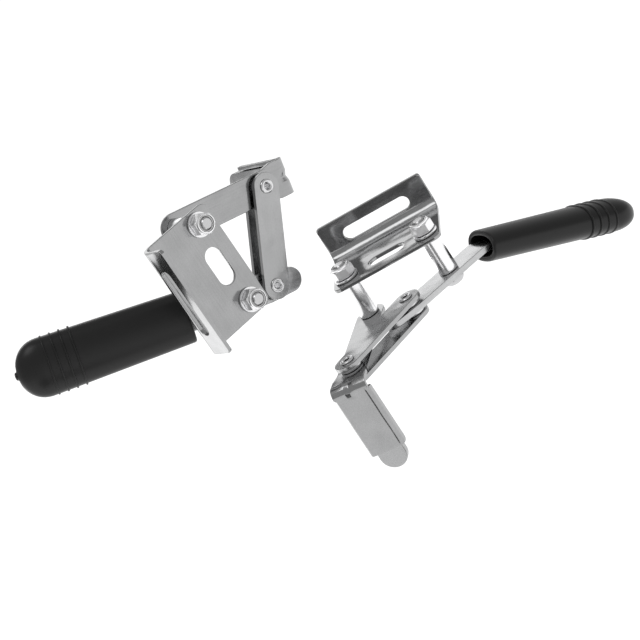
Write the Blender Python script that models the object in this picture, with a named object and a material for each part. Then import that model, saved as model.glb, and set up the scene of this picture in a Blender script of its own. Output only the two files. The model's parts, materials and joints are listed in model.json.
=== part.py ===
"""A pair of toggle clamps that hold a tile cutter's guide rail to a slab.

The two clamps are mirror images. Each has an L-shaped bracket with a long slot for the
rail, a hand lever, an L-shaped arm whose foot hooks under the slab, and a pair of link
plates between them. Lengths are in millimetres and angles in degrees up to the last step,
where meshes and places become metres.

Each clamp is built in its own frame. X runs along the bracket from the arm's bolt to the
lever's bolt, Y runs from the rail towards the slab and W runs along the bolts towards the
nuts. The left clamp has W along its Z axis and the right clamp has W along minus Z, which
makes it the mirror image.
"""
import math

import bmesh
import bpy
from mathutils import Matrix, Vector

MM = 0.001
GAP = 0.3                    # clearance between pieces that touch or turn on each other

# Bracket: flange 1 carries the bolts, flange 2 carries the rail.
SHEET = 2.5                  # sheet thickness of bracket and arm
BOLT_SPAN = 57.0             # arm bolt to lever bolt
END_MARGIN = 9.5             # bolt centre to the bracket's end
FRONT_MARGIN = 12.0          # bolt line to flange 1's front edge
RAIL_FACE = 43.0             # bolt line to flange 2's outer face
FLANGE_RISE = 24.0           # flange 1's nut face to flange 2's free edge
BEND_INNER = 6.5             # inner bend radius of the bracket
CORNER = 5.0                 # radius of flange 1's front corners
EDGE_CORNER = 2.5            # radius of flange 2's free corners
RAIL_SLOT_LENGTH = 47.5
RAIL_SLOT_WIDTH = 9.0
RAIL_SLOT_EDGE = 12.5        # free edge to the rail slot's centre line
SIDE_SLOT_LENGTH = 26.0
SIDE_SLOT_WIDTH = 12.0
SIDE_SLOT_BACK = 3.7         # bolt line to the small slot's centre line

# M8 hardware on each pivot.
BOLT_R = 4.0
HEAD_R = 7.25
HEAD_HEIGHT = 5.0
WASHER_R = 8.0
WASHER_THICK = 1.6
NUT_FLATS = 13.0
NUT_HEIGHT = 6.3
COLLAR_R = 6.2
COLLAR_HEIGHT = 1.5
INSERT_WALL = 0.8
STUD_TIP = 0.8               # stud end beyond the nut's collar
SLEEVE_R = 6.5
SLEEVE_LENGTH = 24.9

# Linkage, pivot to pivot.
ARM_REACH = 68.0
LEVER_REACH = 35.0
LINK_SPAN = 62.5
LINK_HALF = 9.0              # half the width of a link plate
LINK_THICK = 3.0
LINK_GAP = 8.4               # between the two link plates
RIVET_R = 3.0
RIVET_BORE = 2.0
RIVET_RING = 4.6
RIVET_RING_HEIGHT = 0.9
SPACER_R = 7.4
PIVOT_PLAY = 2.7             # radial play of the arm's rivet in its hole

# Lever bar and grip.
BAR_THICK = 4.0
BAR_HALF = 10.0
BAR_TIP_R = 8.0
BAR_TIP_AT = 49.0            # lever bolt to the tip's centre
BAR_TAPER_AT = 32.0          # where the bar starts to narrow
BAR_BEND_AT = 22.0           # lever bolt to the bend's start
BAR_BEND_INNER = 20.0
BAR_BEND = 25.0
BAR_KINK = 2.3               # turn of the handle part within the bar's plane
BAR_IN_GRIP = 70.0
GRIP_START = -4.0            # bend's end to the grip's mouth, which covers the bend
GRIP_LENGTH = 111.5
GRIP_MOUTH_HALF = 16.7
GRIP_HALF = 18.7
GRIP_MOUTH_THICK = 10.2
GRIP_THICK = 10.8
GRIP_DOME = 18.0
GRIP_WALL = 3.6
GRIP_RIB_PITCH = 6.0
GRIP_RIB_HEIGHT = 0.8
GRIP_RIBS = 4
GRIP_NUB_R = 2.6
GRIP_NUB = 1.4

# Arm: leg 1 is a strip, leg 2 is a channel that ends in the foot.
ARM_HALF = 10.0
ARM_FOLD = 23.0              # rivet to leg 2's outer face
ARM_BEND_INNER = 3.5
FOOT_HALF = 12.0
FOOT_LENGTH = 50.0           # arm's front face to the channel's end
FOOT_WALL = 7.0              # depth of the channel's side walls
FOOT_WALL_INNER = 0.5        # inner bend radius of the side walls
FOOT_RELIEF = 1.2
INSERT_THICK = 5.0
INSERT_OUT = 14.0            # foot insert beyond the channel
INSERT_DEPTH = 32.0          # foot insert inside the channel
GUSSET_HALF = 3.6
GUSSET_LENGTH = 8.0
GUSSET_DEPTH = 1.2

# Pose of each clamp at rest, and the right clamp's place.
LEFT_LEVER_ANGLE = 70.0      # from the bracket's length to the lever's link pivot
OVER_CENTRE = 8.0            # right lever past the straight line, so it holds shut
RIGHT_OFFSET = (59.4, -9.3, -86.0)
RIGHT_TURN = (-177.5, 1.4, -41.1)

SEGMENTS = 28
BEND_STEPS = 5

# Depths along W that follow from the sizes above. Flange 1's nut face is zero.
LAYER = -SHEET - GAP - SLEEVE_LENGTH - GAP      # nut-side face of lever and arm
NEAR_GAP = (LINK_GAP - BAR_THICK) / 2.0         # front link to lever
FRONT_LINK = LAYER + NEAR_GAP                   # back face of the front link
REAR_LINK = FRONT_LINK - LINK_GAP               # front face of the rear link

STEEL = ("zinc_steel", (0.62, 0.63, 0.64), 0.28, 1.0)
SATIN = ("satin_zinc", (0.56, 0.57, 0.58), 0.38, 1.0)
BRIGHT = ("bright_hardware", (0.68, 0.68, 0.69), 0.22, 1.0)
NYLON = ("nylon", (0.55, 0.57, 0.58), 0.45, 0.0)
RUBBER = ("black_rubber", (0.022, 0.022, 0.023), 0.42, 0.0)
PAD = ("foot_metal", (0.52, 0.53, 0.54), 0.35, 1.0)


def clear_scene():
    for thing in list(bpy.data.objects):
        bpy.data.objects.remove(thing, do_unlink=True)
    for mesh in list(bpy.data.meshes):
        bpy.data.meshes.remove(mesh)


def material(name, finish):
    kind, colour, roughness, metallic = finish
    made = bpy.data.materials.new(name)
    made.use_nodes = True
    shader = made.node_tree.nodes["Principled BSDF"]
    shader.inputs["Base Color"].default_value = (*colour, 1.0)
    shader.inputs["Roughness"].default_value = roughness
    shader.inputs["Metallic"].default_value = metallic
    made.diffuse_color = (*colour, 1.0)
    return made


# ---------------------------------------------------------------- outlines


def circle(x, y, r, steps=SEGMENTS):
    return [(x + r * math.cos(2 * math.pi * i / steps),
             y + r * math.sin(2 * math.pi * i / steps)) for i in range(steps)]


def slot(x, y, length, width, steps=12):
    """A slot along X with round ends, from its centre and overall sizes."""
    r = width / 2
    half = length / 2 - r
    points = []
    for cx, start in ((x + half, -90), (x - half, 90)):
        for i in range(steps + 1):
            a = math.radians(start + 180 * i / steps)
            points.append((cx + r * math.cos(a), y + r * math.sin(a)))
    return points


def rounded(corners, steps=5):
    """An outline from (x, y, radius) corners, with each corner rounded."""
    points = []
    count = len(corners)
    for i, (x, y, r) in enumerate(corners):
        here = Vector((x, y))
        if r <= 0:
            points.append((x, y))
            continue
        before = (Vector(corners[i - 1][:2]) - here).normalized()
        after = (Vector(corners[(i + 1) % count][:2]) - here).normalized()
        half = before.angle(after) / 2
        along = r / math.tan(half)
        middle = here + (before + after).normalized() * (r / math.sin(half))
        a = here + before * along - middle
        b = here + after * along - middle
        turn = math.atan2(a.x * b.y - a.y * b.x, a.dot(b))
        start = math.atan2(a.y, a.x)
        for k in range(steps + 1):
            angle = start + turn * k / steps
            points.append((middle.x + r * math.cos(angle), middle.y + r * math.sin(angle)))
    return points


# ---------------------------------------------------------------- solids


def plate(outline, holes, low, high, cuts=()):
    """A flat plate with holes. Each cut is ('x' or 'y', value) and adds an edge row."""
    bm = bmesh.new()
    for loop in [outline] + list(holes):
        verts = [bm.verts.new((x, y, low)) for x, y in loop]
        for a, b in zip(verts, verts[1:] + verts[:1]):
            bm.edges.new((a, b))
    bmesh.ops.triangle_fill(bm, use_beauty=True, edges=bm.edges[:], normal=(0, 0, 1))
    for axis, value in cuts:
        point = (value, 0, 0) if axis == "x" else (0, value, 0)
        normal = (1, 0, 0) if axis == "x" else (0, 1, 0)
        bmesh.ops.bisect_plane(bm, geom=bm.verts[:] + bm.edges[:] + bm.faces[:],
                               dist=1e-5, plane_co=point, plane_no=normal)
    made = bmesh.ops.extrude_face_region(bm, geom=bm.faces[:])
    for v in made["geom"]:
        if isinstance(v, bmesh.types.BMVert):
            v.co.z = high
    return bm


def fold_cuts(axis, start, way, inner, angle, thick):
    """Edge rows that a fold needs, from where it starts to where it ends."""
    arc = math.radians(angle) * (inner + thick / 2)
    return [(axis, start + way * arc * i / BEND_STEPS) for i in range(BEND_STEPS + 1)]


def fold(bm, axis, start, way, inner, angle, face, side, thick, only=None):
    """Bend a plate about a line across it.

    Points beyond start, in the direction way along axis, turn towards side of the plate.
    face is the height of the face on the inside of the bend.
    """
    k = 0 if axis == "x" else 1
    turn = math.radians(angle)
    middle = inner + thick / 2
    centre = face + side * inner
    for v in bm.verts:
        s = way * (v.co[k] - start)
        if s <= 0 or (only and not only(v.co)):
            continue
        rho = side * (centre - v.co.z)
        phi = min(s / middle, turn)
        rest = max(0.0, s - middle * turn)
        v.co[k] = start + way * (rho * math.sin(phi) + rest * math.cos(phi))
        v.co.z = centre - side * rho * math.cos(phi) + side * rest * math.sin(phi)


def lathe(profile, segments=SEGMENTS):
    """Turn a closed (radius, height) outline about Z. Radius 0 makes a pole."""
    bm = bmesh.new()
    rings = []
    for r, z in profile:
        if r <= 1e-9:
            rings.append([bm.verts.new((0, 0, z))])
            continue
        rings.append([bm.verts.new((r * math.cos(2 * math.pi * i / segments),
                                    r * math.sin(2 * math.pi * i / segments), z))
                      for i in range(segments)])
    pairs = list(zip(rings, rings[1:] + rings[:1]))
    for a, b in pairs:
        join_rings(bm, a, b)
    return bm


def join_rings(bm, a, b):
    if len(a) == 1 and len(b) == 1:
        return
    n = max(len(a), len(b))
    for i in range(n):
        j = (i + 1) % n
        loop = [a[i % len(a)], a[j % len(a)], b[j % len(b)], b[i % len(b)]]
        face = []
        for v in loop:
            if v not in face:
                face.append(v)
        bm.faces.new(face)


def oval(bm, x, half_y, half_z, power, segments=32):
    ring = []
    for i in range(segments):
        a = 2 * math.pi * i / segments
        c, s = math.cos(a), math.sin(a)
        ring.append(bm.verts.new((
            x,
            half_y * math.copysign(abs(c) ** (2 / power), c),
            half_z * math.copysign(abs(s) ** (2 / power), s))))
    return ring


# ---------------------------------------------------------------- placing


class Clamp:
    """One clamp: its frame, its axes and the side its nuts are on."""

    def __init__(self, name, hand, lever_angle, place, turn):
        self.name = name
        self.hand = hand
        self.lever_angle = math.radians(lever_angle)
        self.arm_angle = arm_angle(self.lever_angle)
        self.frame = self.empty("clamp", None, place, turn)
        self.lever_axis = self.empty("lever_axis", self.frame, (BOLT_SPAN, 0, 0),
                                     (0, 0, math.degrees(self.lever_angle)))
        self.arm_axis = self.empty("arm_axis", self.frame, (0, 0, 0),
                                   (0, 0, math.degrees(self.arm_angle)))
        pivot = lever_pivot(self.lever_angle)
        rivet = arm_pivot(self.arm_angle)
        link_angle = math.atan2(rivet[1] - pivot[1], rivet[0] - pivot[0])
        self.link_axis = self.empty("link_axis", self.lever_axis, (LEVER_REACH, 0, 0),
                                    (0, 0, math.degrees(link_angle - self.lever_angle)))

    def empty(self, name, parent, place, turn):
        made = bpy.data.objects.new(f"{self.name}_{name}", None)
        made.empty_display_size = 0.01
        bpy.context.scene.collection.objects.link(made)
        made.parent = parent
        made.location = [c * MM for c in place]
        made.rotation_euler = [math.radians(a) for a in turn]
        return made

    def add(self, name, bm, finish, parent, place=(0, 0, 0), turn=None, smooth=False):
        """Make the piece's object. Heights in bm and place are along W."""
        bmesh.ops.remove_doubles(bm, verts=bm.verts[:], dist=1e-4)
        bmesh.ops.scale(bm, vec=(MM, MM, MM * self.hand), verts=bm.verts[:])
        bmesh.ops.recalc_face_normals(bm, faces=bm.faces[:])
        mesh = bpy.data.meshes.new(f"{self.name}_{name}")
        bm.to_mesh(mesh)
        bm.free()
        made = bpy.data.objects.new(f"{self.name}_{name}", mesh)
        bpy.context.scene.collection.objects.link(made)
        made.parent = parent
        made.location = (place[0] * MM, place[1] * MM, place[2] * MM * self.hand)
        if turn is not None:
            made.rotation_euler = turn
        mesh.materials.append(material(f"{self.name}_{name}", finish))
        if smooth:
            for face in mesh.polygons:
                face.use_smooth = True
            mesh.set_sharp_from_angle(angle=math.radians(32))
        return made


def lever_pivot(angle):
    return (BOLT_SPAN + LEVER_REACH * math.cos(angle), LEVER_REACH * math.sin(angle))


def arm_pivot(angle):
    return (ARM_REACH * math.cos(angle), ARM_REACH * math.sin(angle))


def arm_angle(lever_angle):
    """The arm's angle that closes the four-bar linkage for a lever angle."""
    x, y = lever_pivot(lever_angle)
    far = math.hypot(x, y)
    opening = math.acos((ARM_REACH ** 2 + far ** 2 - LINK_SPAN ** 2) / (2 * ARM_REACH * far))
    return math.atan2(y, x) + opening


def straight_angle():
    """The lever's angle at which its bolt and both link pivots are in line."""
    far = LEVER_REACH + LINK_SPAN
    return math.acos((ARM_REACH ** 2 - BOLT_SPAN ** 2 - far ** 2) / (2 * BOLT_SPAN * far))


# ---------------------------------------------------------------- pieces


def bracket():
    """Flange 1 lies flat and flange 2 is folded up from the pattern's rear."""
    bend_line = -(RAIL_FACE - BEND_INNER - SHEET)
    arc = math.pi / 2 * (BEND_INNER + SHEET / 2)
    outer = BEND_INNER + SHEET
    flat_rise = FLANGE_RISE - BEND_INNER
    rear = bend_line - arc - flat_rise
    left, right = -END_MARGIN, BOLT_SPAN + END_MARGIN
    outline = rounded([(left, FRONT_MARGIN, CORNER), (left, rear, EDGE_CORNER),
                       (right, rear, EDGE_CORNER), (right, FRONT_MARGIN, CORNER)])
    middle = BOLT_SPAN / 2
    holes = [circle(0, 0, BOLT_R + GAP, 24), circle(BOLT_SPAN, 0, BOLT_R + GAP, 24),
             slot(middle, -SIDE_SLOT_BACK, SIDE_SLOT_LENGTH, SIDE_SLOT_WIDTH),
             slot(middle, rear + RAIL_SLOT_EDGE, RAIL_SLOT_LENGTH, RAIL_SLOT_WIDTH)]
    bm = plate(outline, holes, -SHEET, 0.0,
               fold_cuts("y", bend_line, -1, BEND_INNER, 90, SHEET))
    fold(bm, "y", bend_line, -1, BEND_INNER, 90, 0.0, 1, SHEET)
    return bm


def bolt(under_head):
    """Round head, shank and stud end. under_head is where the head meets its plate."""
    tip = nut_top() + STUD_TIP
    low = under_head - GAP
    r, h = HEAD_R, HEAD_HEIGHT
    return lathe([(0, low - h), (r * 0.45, low - h), (r * 0.72, low - h * 0.9),
                  (r * 0.9, low - h * 0.66), (r * 0.985, low - h * 0.34), (r, low - h * 0.12),
                  (r * 0.97, low), (BOLT_R, low), (BOLT_R, tip - 0.8),
                  (BOLT_R - 0.8, tip), (0, tip)], 28)


def nut_seat():
    return GAP + WASHER_THICK + GAP


def nut_top():
    return nut_seat() + NUT_HEIGHT + COLLAR_HEIGHT


def tube(outer, inner, low, high, chamfer=0.3, segments=SEGMENTS):
    if not chamfer:
        return lathe([(inner, low), (outer, low), (outer, high), (inner, high)], segments)
    c = chamfer
    return lathe([(inner, low + c), (inner + c, low), (outer - c, low), (outer, low + c),
                  (outer, high - c), (outer - c, high), (inner + c, high), (inner, high - c)],
                 segments)


def nut():
    """Hexagon with a round collar, bored for the stud and for the nylon insert."""
    bore = BOLT_R + GAP
    seat = BOLT_R + GAP + INSERT_WALL + GAP
    corner = NUT_FLATS / math.sqrt(3)
    low = nut_seat()
    high = low + NUT_HEIGHT
    rounds = 24
    bm = bmesh.new()

    def ring(radius, z, hexagon=False):
        made = []
        for i in range(rounds):
            a = 2 * math.pi * i / rounds
            r = radius
            if hexagon:
                off = (a % (math.pi / 3)) - math.pi / 6
                r = min(radius, NUT_FLATS / 2 / math.cos(off))
            made.append(bm.verts.new((r * math.cos(a), r * math.sin(a), z)))
        return made

    rings = [ring(bore, low), ring(NUT_FLATS / 2 - 0.1, low), ring(corner, low + 0.8, True),
             ring(corner, high - 0.9, True), ring(NUT_FLATS / 2 - 0.2, high),
             ring(COLLAR_R, high), ring(COLLAR_R, high + COLLAR_HEIGHT - 0.4),
             ring(COLLAR_R - 0.4, high + COLLAR_HEIGHT), ring(seat, high + COLLAR_HEIGHT),
             ring(seat, high - 0.6), ring(bore, high - 0.6)]
    for a, b in zip(rings, rings[1:] + rings[:1]):
        join_rings(bm, a, b)
    return bm


def nut_insert():
    high = nut_top() - 0.3
    low = nut_seat() + NUT_HEIGHT - 0.6 + GAP
    return tube(BOLT_R + GAP + INSERT_WALL, BOLT_R + GAP, low, high, 0, 24)


def lever_bar():
    """Flat bar from the rounded tip past the bolt, bent once and run into the grip."""
    arc = math.radians(BAR_BEND) * (BAR_BEND_INNER + BAR_THICK / 2)
    end = -(BAR_BEND_AT + arc + GRIP_START + BAR_IN_GRIP)
    shift = math.tan(math.radians(BAR_KINK))

    def kinked(x):
        return -shift * max(0.0, -BAR_BEND_AT - x)

    tip = []
    for i in range(13):
        a = math.radians(-86 + 172 * i / 12)
        tip.append((BAR_TIP_AT + BAR_TIP_R * math.cos(a), BAR_TIP_R * math.sin(a)))
    body = rounded([(BAR_TAPER_AT, BAR_HALF, 0), (-BAR_BEND_AT, BAR_HALF, 0),
                    (end, BAR_HALF + kinked(end), 2.0), (end, -BAR_HALF + kinked(end), 2.0),
                    (-BAR_BEND_AT, -BAR_HALF, 0), (BAR_TAPER_AT, -BAR_HALF, 0)], 4)
    outline = tip + body
    holes = [circle(0, 0, BOLT_R + GAP, 24), circle(LEVER_REACH, 0, RIVET_R + GAP, 24)]
    low, high = LAYER - BAR_THICK, LAYER
    bm = plate(outline, holes, low, high,
               fold_cuts("x", -BAR_BEND_AT, -1, BAR_BEND_INNER, BAR_BEND, BAR_THICK))
    fold(bm, "x", -BAR_BEND_AT, -1, BAR_BEND_INNER, BAR_BEND, low, -1, BAR_THICK)
    return bm


def grip_place(hand):
    """Place and turn of the grip's mouth in the lever's frame."""
    turn = math.radians(BAR_BEND)
    kink = math.radians(BAR_KINK)
    middle = BAR_BEND_INNER + BAR_THICK / 2
    x = -BAR_BEND_AT - middle * math.sin(turn) - GRIP_START * math.cos(turn)
    w = LAYER - BAR_THICK / 2 - middle * (1 - math.cos(turn)) - GRIP_START * math.sin(turn)
    y = -math.tan(kink) * (middle * turn + GRIP_START)
    flat = math.atan2(math.tan(kink), math.cos(turn))
    cb, sb = math.cos(turn), math.sin(turn)
    axis = Vector((-cb, -math.tan(kink), -hand * sb)).normalized()
    across = Vector((math.sin(flat), -math.cos(flat), 0.0))
    across = (across - axis * across.dot(axis)).normalized()
    up = axis.cross(across)
    basis = Matrix((axis, across, up)).transposed()
    return (x, y, w), basis.to_euler()


def grip():
    """Oval rubber sleeve: ribbed near its domed end, open at its mouth."""
    bm = bmesh.new()
    body = GRIP_LENGTH - GRIP_DOME

    def size(x):
        t = min(1.0, x / body)
        return (GRIP_MOUTH_HALF + (GRIP_HALF - GRIP_MOUTH_HALF) * t,
                GRIP_MOUTH_THICK + (GRIP_THICK - GRIP_MOUTH_THICK) * t)

    outer = []

    def station(x, grow=0.0, scale=1.0):
        a, b = size(x)
        outer.append(oval(bm, x, (a + grow) * scale, (b + grow) * scale, 2.3))

    station(0.8, -0.6)
    station(2.0)
    station(body * 0.45)
    first = body - GRIP_RIB_PITCH * (GRIP_RIBS - 0.5)
    for i in range(GRIP_RIBS):
        x = first + GRIP_RIB_PITCH * i
        station(x - 1.2)
        station(x - 0.5, GRIP_RIB_HEIGHT)
        station(x + 0.5, GRIP_RIB_HEIGHT)
        station(x + 1.2)
    for t in (0.0, 0.25, 0.5, 0.7, 0.86, 0.955):
        station(body + GRIP_DOME * t, 0.0, math.sqrt(1 - t ** 2.2))
    nub_base = GRIP_LENGTH - 0.15
    outer.append(oval(bm, nub_base, GRIP_NUB_R, GRIP_NUB_R, 2.0))
    outer.append(oval(bm, nub_base + GRIP_NUB * 0.7, GRIP_NUB_R * 0.85, GRIP_NUB_R * 0.85, 2.0))
    pole = [bm.verts.new((nub_base + GRIP_NUB, 0, 0))]

    mouth_y, mouth_z = GRIP_MOUTH_HALF - GRIP_WALL, GRIP_MOUTH_THICK - GRIP_WALL
    fit_y, fit_z = BAR_HALF + 2 * GAP, BAR_THICK / 2 + 2 * GAP
    inner = [oval(bm, 0.0, GRIP_MOUTH_HALF - 1.4, GRIP_MOUTH_THICK - 1.4, 2.3),
             oval(bm, 0.0, mouth_y + 0.8, mouth_z + 0.8, 2.3),
             oval(bm, 0.8, mouth_y, mouth_z, 2.6),
             oval(bm, 9.0, max(mouth_y - 0.6, fit_y + 0.3), mouth_z - 1.2, 3.0),
             oval(bm, 14.0, fit_y, fit_z, 9.0),
             oval(bm, BAR_IN_GRIP + 1.0, fit_y, fit_z, 9.0)]
    end = [bm.verts.new((BAR_IN_GRIP + 1.0, 0, 0))]
    chain = [end] + inner[::-1] + outer + [pole]
    for a, b in zip(chain, chain[1:]):
        join_rings(bm, a, b)
    return bm


def arm():
    """Strip, bend and channel, folded from one flat pattern."""
    fold_at = ARM_REACH + ARM_FOLD - ARM_BEND_INNER - SHEET
    arc = math.pi / 2 * (ARM_BEND_INNER + SHEET / 2)
    channel_from = fold_at + arc + FOOT_RELIEF
    end = fold_at + arc + FOOT_LENGTH - ARM_BEND_INNER - SHEET
    wall_line = FOOT_HALF - FOOT_WALL_INNER - SHEET
    wall_arc = math.pi / 2 * (FOOT_WALL_INNER + SHEET / 2)
    wall_edge = wall_line + wall_arc + FOOT_WALL - FOOT_WALL_INNER - SHEET
    flare = fold_at - 6.0
    half = [(0, ARM_HALF, 0), (flare - 8.0, ARM_HALF, 0), (flare, FOOT_HALF, 0),
            (channel_from, FOOT_HALF, 0), (channel_from, wall_edge, 1.6),
            (end, wall_edge, 2.5)]
    corners = [(x, -y, r) for x, y, r in half] + [(x, y, r) for x, y, r in half[::-1]]
    outline = rounded(corners, 3)
    for i in range(1, 12):
        a = math.radians(90 + 180 * i / 12)
        outline.append((ARM_HALF * math.cos(a), ARM_HALF * math.sin(a)))
    holes = [circle(0, 0, BOLT_R + GAP, 24), circle(ARM_REACH, 0, RIVET_R + PIVOT_PLAY, 28)]
    low, high = LAYER - SHEET, LAYER
    cuts = fold_cuts("x", fold_at, 1, ARM_BEND_INNER, 90, SHEET)
    for way in (-1, 1):
        cuts += fold_cuts("y", way * wall_line, way, FOOT_WALL_INNER, 90, SHEET)[::2]
    middle = fold_at + arc / 2
    for k in (-1.0, -0.6, 0.6, 1.0):
        cuts.append(("x", middle + GUSSET_LENGTH * k))
    for k in (-1.0, -0.5, 0.0, 0.5, 1.0):
        cuts.append(("y", GUSSET_HALF * k))
    bm = plate(outline, holes, low, high, cuts)

    pressed = {}
    for v in bm.verts:
        along = abs(v.co.x - middle) / GUSSET_LENGTH
        across = abs(v.co.y) / GUSSET_HALF
        if along < 1 and across < 1:
            pressed[v] = GUSSET_DEPTH * (1 - along ** 2) * (1 - across)
    for way in (-1, 1):
        fold(bm, "y", way * wall_line, way, FOOT_WALL_INNER, 90, low, -1, SHEET,
             only=lambda co: co.x > channel_from - 1e-4)
    fold(bm, "x", fold_at, 1, ARM_BEND_INNER, 90, low, -1, SHEET)
    inward = Vector((-1.0, 0.0, -1.0)).normalized()
    for v, depth in pressed.items():
        v.co += inward * depth
    return bm


def foot_insert():
    """Bar with a round end that fills the channel and stands out of it."""
    half = FOOT_HALF - SHEET - 2 * GAP
    length = INSERT_DEPTH + INSERT_OUT
    outline = [(1.0, half), (0.0, half - 1.0), (0.0, 1.0 - half), (1.0, -half)]
    for i in range(15):
        a = math.radians(-90 + 180 * i / 14)
        outline.append((length - half + half * math.cos(a), half * math.sin(a)))
    return plate(outline, [], -INSERT_THICK / 2, INSERT_THICK / 2)


def link(low):
    points = slot(LINK_SPAN / 2, 0, LINK_SPAN + 2 * LINK_HALF, 2 * LINK_HALF, 14)
    holes = [circle(0, 0, RIVET_R + GAP, 24), circle(LINK_SPAN, 0, RIVET_R + GAP, 24)]
    return plate(points, holes, low, low + LINK_THICK)


def rivet():
    """Hollow rivet through both link plates, with a rolled ring at each end."""
    high = FRONT_LINK + LINK_THICK + GAP
    low = REAR_LINK - LINK_THICK - GAP
    h, ring = RIVET_RING_HEIGHT, RIVET_RING
    return lathe([(RIVET_BORE, low - h * 0.6), (RIVET_BORE + 0.5, low - h), (ring - 0.6, low - h),
                  (ring, low - h * 0.4), (ring, low), (RIVET_R, low), (RIVET_R, high),
                  (ring, high), (ring, high + h * 0.4), (ring - 0.6, high + h),
                  (RIVET_BORE + 0.5, high + h), (RIVET_BORE, high + h * 0.6)], 24)


def spacer(low, high):
    return tube(SPACER_R, RIVET_R + GAP, low + GAP, high - GAP, 0, 24)


def build_clamp(clamp):
    frame, lever, swing, links = (clamp.frame, clamp.lever_axis, clamp.arm_axis,
                                  clamp.link_axis)
    clamp.add("bracket", bracket(), STEEL, frame, smooth=True)
    for which, x, under in (("arm", 0.0, LAYER - SHEET), ("lever", BOLT_SPAN, LAYER - BAR_THICK)):
        at = (x, 0, 0)
        clamp.add(f"{which}_bolt", bolt(under), BRIGHT, frame, at, smooth=True)
        clamp.add(f"{which}_sleeve", tube(SLEEVE_R, BOLT_R + GAP, LAYER + GAP, -SHEET - GAP),
                  BRIGHT, frame, at, smooth=True)
        clamp.add(f"{which}_washer",
                  tube(WASHER_R, BOLT_R + GAP, GAP, GAP + WASHER_THICK, 0.2),
                  BRIGHT, frame, at, smooth=True)
        clamp.add(f"{which}_nut", nut(), BRIGHT, frame, at, smooth=True)
        clamp.add(f"{which}_nut_insert", nut_insert(), NYLON, frame, at, smooth=True)
    clamp.add("lever_bar", lever_bar(), SATIN, lever, smooth=True)
    place, turn = grip_place(clamp.hand)
    clamp.add("grip", grip(), RUBBER, lever, place, turn, smooth=True)
    clamp.add("arm", arm(), STEEL, swing, smooth=True)
    outer = ARM_REACH + ARM_FOLD
    x = outer - SHEET - GAP - INSERT_THICK / 2
    w = LAYER - FOOT_LENGTH + INSERT_DEPTH
    clamp.add("foot_insert", foot_insert(), PAD, swing, (x, 0, w),
              (0, math.radians(90) * clamp.hand, 0), smooth=True)
    clamp.add("front_link", link(FRONT_LINK), SATIN, links)
    clamp.add("rear_link", link(REAR_LINK - LINK_THICK), SATIN, links)
    arm_back, bar_back = LAYER - SHEET, LAYER - BAR_THICK
    for which, x, back in (("lever", 0.0, bar_back), ("arm", LINK_SPAN, arm_back)):
        at = (x, 0, 0)
        clamp.add(f"{which}_rivet", rivet(), BRIGHT, links, at, smooth=True)
        clamp.add(f"{which}_front_spacer", spacer(LAYER, FRONT_LINK), BRIGHT, links, at,
                  smooth=True)
        clamp.add(f"{which}_rear_spacer", spacer(REAR_LINK, back), BRIGHT, links, at,
                  smooth=True)


def main():
    clear_scene()
    # The origin is on the left rail face, between its slot and its free edge.
    rail_strip = FLANGE_RISE - (RAIL_SLOT_EDGE - RAIL_SLOT_WIDTH / 2) / 2
    left_place = (RAIL_FACE, rail_strip, BOLT_SPAN / 2)
    right_place = [a + b for a, b in zip(left_place, RIGHT_OFFSET)]
    build_clamp(Clamp("left", 1, LEFT_LEVER_ANGLE, left_place, (90, 90, 0)))
    shut = math.degrees(straight_angle()) + OVER_CENTRE
    build_clamp(Clamp("right", -1, shut, right_place, RIGHT_TURN))
    bpy.context.view_layer.update()


main()
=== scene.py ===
"""Looks of a pair of toggle clamps that hold a tile cutter's guide rail to a slab.

Each clamp has an L-shaped bracket folded from sheet, two pivot bolts with sleeves and lock
nuts, a hooked arm with a foot, a cranked hand lever with a rubber grip, and two link plates
on hollow rivets. Every piece is built in its clamp's own frame, which follows from the
record's joints, in millimetres: X runs from the arm's bolt to the lever's bolt, Y from the
rail towards the slab, and W along the bolts towards the nuts. The right clamp's frame is
left-handed, which makes it the left clamp's mirror image.
"""

import json
import logging
import math
from collections.abc import Callable
from dataclasses import dataclass
from enum import Enum
from typing import Union

import bmesh
import bpy
from mathutils import Matrix, Vector


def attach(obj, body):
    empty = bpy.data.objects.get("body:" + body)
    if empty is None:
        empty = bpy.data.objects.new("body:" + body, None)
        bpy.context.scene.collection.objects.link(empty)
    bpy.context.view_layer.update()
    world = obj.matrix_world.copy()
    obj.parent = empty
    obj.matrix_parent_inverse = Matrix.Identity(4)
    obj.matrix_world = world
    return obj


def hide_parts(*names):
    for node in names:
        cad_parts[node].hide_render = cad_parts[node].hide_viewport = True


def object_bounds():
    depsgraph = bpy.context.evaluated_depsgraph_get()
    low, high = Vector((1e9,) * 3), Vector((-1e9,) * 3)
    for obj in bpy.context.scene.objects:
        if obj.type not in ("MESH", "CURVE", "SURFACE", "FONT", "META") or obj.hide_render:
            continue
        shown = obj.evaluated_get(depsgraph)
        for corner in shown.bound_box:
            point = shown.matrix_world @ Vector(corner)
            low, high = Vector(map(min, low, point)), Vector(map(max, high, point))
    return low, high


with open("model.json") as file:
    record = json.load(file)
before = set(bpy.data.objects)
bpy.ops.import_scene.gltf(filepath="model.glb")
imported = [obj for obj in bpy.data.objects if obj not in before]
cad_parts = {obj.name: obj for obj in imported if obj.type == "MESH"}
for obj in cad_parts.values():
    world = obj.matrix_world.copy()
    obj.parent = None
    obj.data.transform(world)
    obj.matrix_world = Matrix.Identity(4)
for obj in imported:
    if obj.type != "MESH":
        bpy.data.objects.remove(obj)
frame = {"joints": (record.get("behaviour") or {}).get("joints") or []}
CAD_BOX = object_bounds()

log = logging.getLogger("clamps")
MM = 0.001
GAP = 0.3        # clearance between two pieces
KNEE = 0.3       # inset of a rounded edge's middle step, as a part of its radius
WELD = 1e-7      # vertices closer than this, in metres, become one
Point = tuple[float, float]
Outline = list[Point]
Value = Union[float, tuple, "Socket"]


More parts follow.
